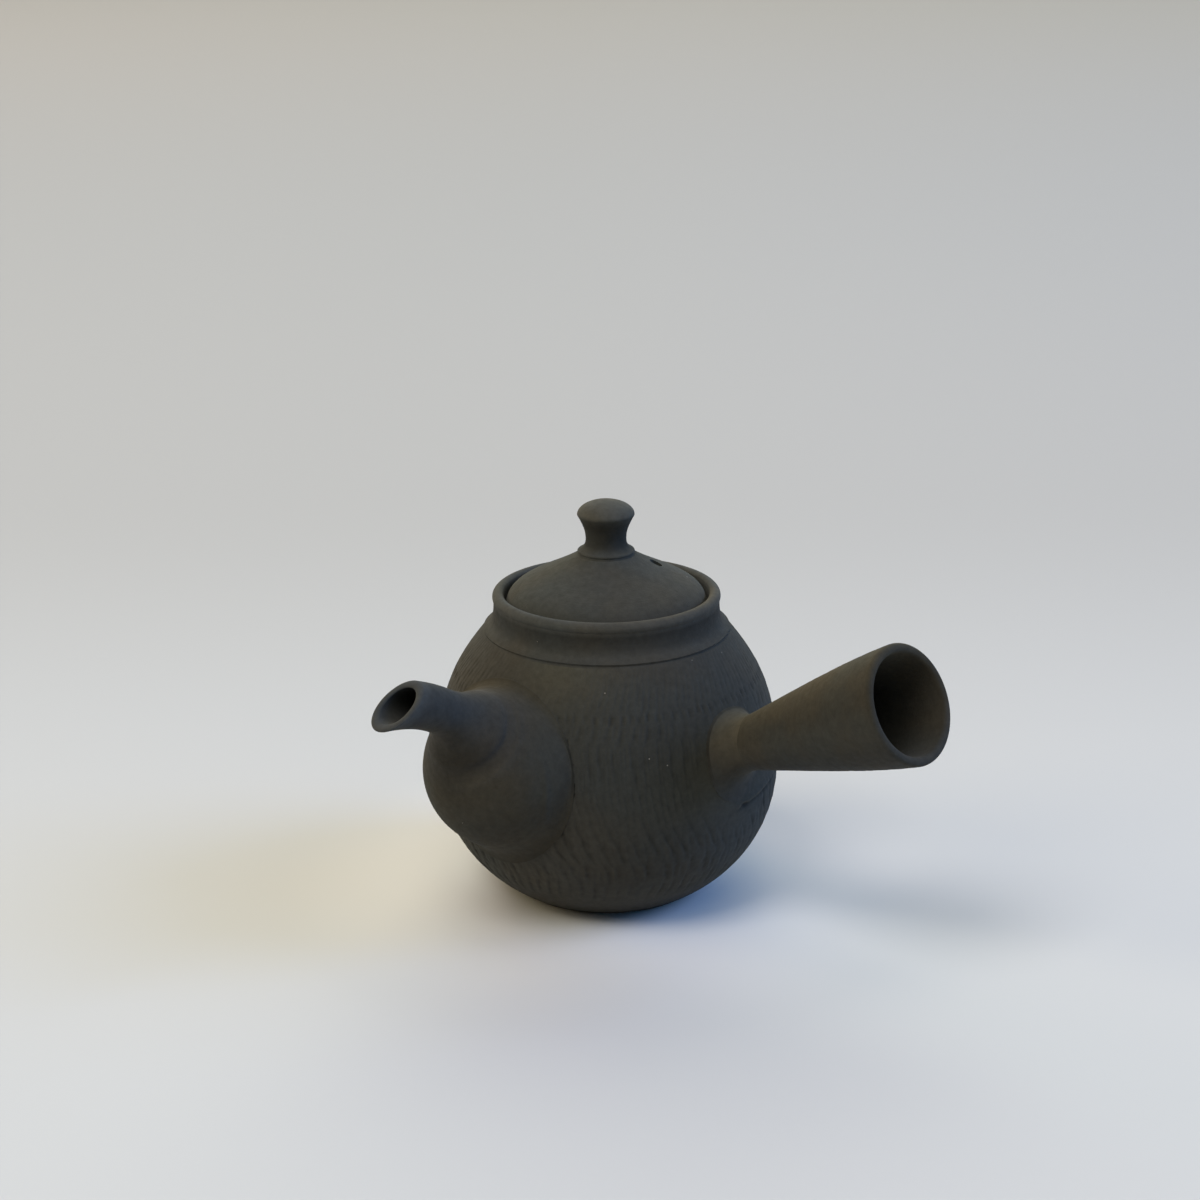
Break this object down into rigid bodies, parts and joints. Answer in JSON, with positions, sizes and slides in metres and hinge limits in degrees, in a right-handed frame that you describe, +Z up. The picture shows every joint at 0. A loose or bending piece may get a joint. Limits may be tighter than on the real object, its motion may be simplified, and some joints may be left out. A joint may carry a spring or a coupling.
{
  "type": "side-handled teapot",
  "caption": "Side-handled teapot of dark unglazed stoneware with a lift-off lid, a hollow flared handle, a bell-footed spout and a pierced clay strainer behind it.",
  "frame": {"origin": "centre of the flat base, on the axis of the pot", "axes": "+Z up along the axis of the pot, +X along the handle, -Y along the spout"},
  "size_m": [0.1508, 0.1303, 0.1072],
  "materials": {
    "body_clay": "matt unglazed black-brown stoneware with rows of chatter marks",
    "spout_clay": "matt unglazed stoneware, smoothed by hand, faint throwing rings",
    "handle_clay": "matt unglazed stoneware, a little browner, fine throwing rings",
    "lid_clay": "matt unglazed stoneware, fine turning rings",
    "strainer_clay": "matt unglazed stoneware, pierced"
  },
  "bodies": {
    "pot": {"body": "body_clay", "strainer": "strainer_clay", "spout": "spout_clay", "handle": "handle_clay", "handle_coil": "handle_clay"},
    "lid": {"lid": "lid_clay", "knob": "lid_clay"}
  },
  "joints": [
    {"name": "lid_lift", "type": "slide", "parent": "pot", "child": "lid", "axis": [0, 0, 1], "range_m": [0, 0.05]}
  ]
}
